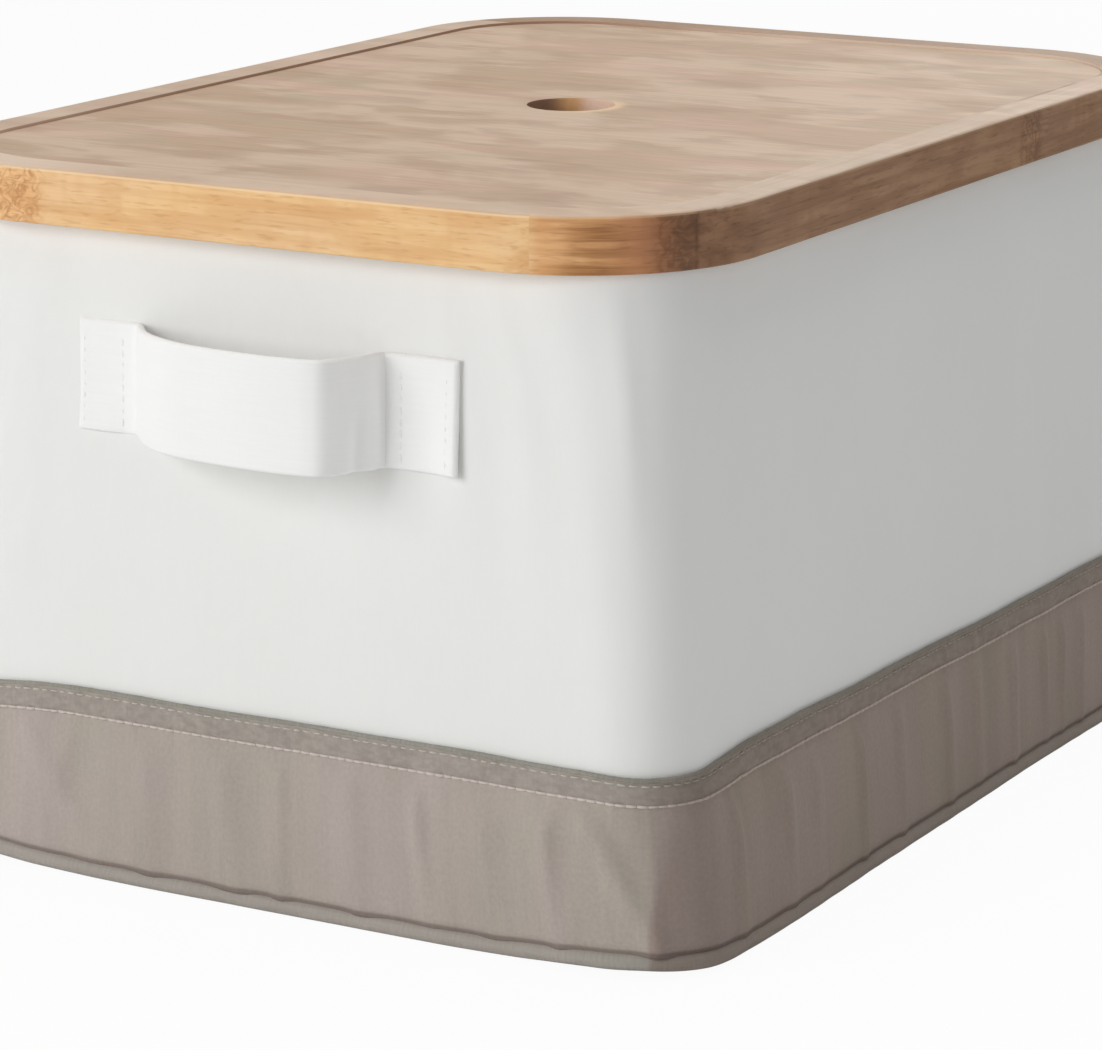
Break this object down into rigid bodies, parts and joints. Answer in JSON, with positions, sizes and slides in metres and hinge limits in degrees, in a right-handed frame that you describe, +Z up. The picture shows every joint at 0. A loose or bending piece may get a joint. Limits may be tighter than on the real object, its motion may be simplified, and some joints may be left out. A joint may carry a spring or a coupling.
{
  "type": "storage bin",
  "caption": "Fabric storage bin with rounded corners, a taupe band round its foot, carrying straps on the short sides and a bamboo-framed lift-off lid with a finger hole.",
  "frame": {"origin": "centre of the footprint, on the surface the bin stands on", "axes": "+Z up; +Y along the long sides, away from the front short side; +X to the right seen from the front"},
  "size_m": [0.258, 0.3854, 0.2],
  "materials": {
    "bamboo_frame": "clear satin lacquer on solid bamboo",
    "bamboo_veneer": "satin bamboo veneer",
    "panel_core": "raw fibreboard",
    "white_fabric": "plain weave polyester-cotton",
    "strap_fabric": "plain weave, doubled and stitched",
    "lining_fabric": "thin non-woven lining",
    "taupe_fabric": "canvas weave",
    "taupe_piping": "canvas binding over cord",
    "fibreboard": "raw fibreboard"
  },
  "bodies": {
    "bin": {"outer_fabric": "white_fabric", "base_band": "taupe_fabric", "bottom_piping": "taupe_piping", "base_fabric": "taupe_fabric", "wall_board_front": "fibreboard", "wall_board_back": "fibreboard", "wall_board_left": "fibreboard", "wall_board_right": "fibreboard", "corner_board_front_left": "fibreboard", "corner_board_front_right": "fibreboard", "corner_board_back_left": "fibreboard", "corner_board_back_right": "fibreboard", "base_board": "fibreboard", "wall_lining": "lining_fabric", "floor_lining": "lining_fabric", "front_strap": "strap_fabric", "back_strap": "strap_fabric"},
    "lid": {"lid_rail_front": "bamboo_frame", "lid_rail_back": "bamboo_frame", "lid_rail_left": "bamboo_frame", "lid_rail_right": "bamboo_frame", "lid_corner_front_left": "bamboo_frame", "lid_corner_front_right": "bamboo_frame", "lid_corner_back_left": "bamboo_frame", "lid_corner_back_right": "bamboo_frame", "lid_panel_bottom_veneer": "bamboo_veneer", "lid_panel_core": "panel_core", "lid_panel_top_veneer": "bamboo_veneer"}
  },
  "joints": [
    {"name": "lid_lift", "type": "slide", "parent": "bin", "child": "lid", "axis": [0, 0, 1], "range_m": [0, 0.15]}
  ]
}
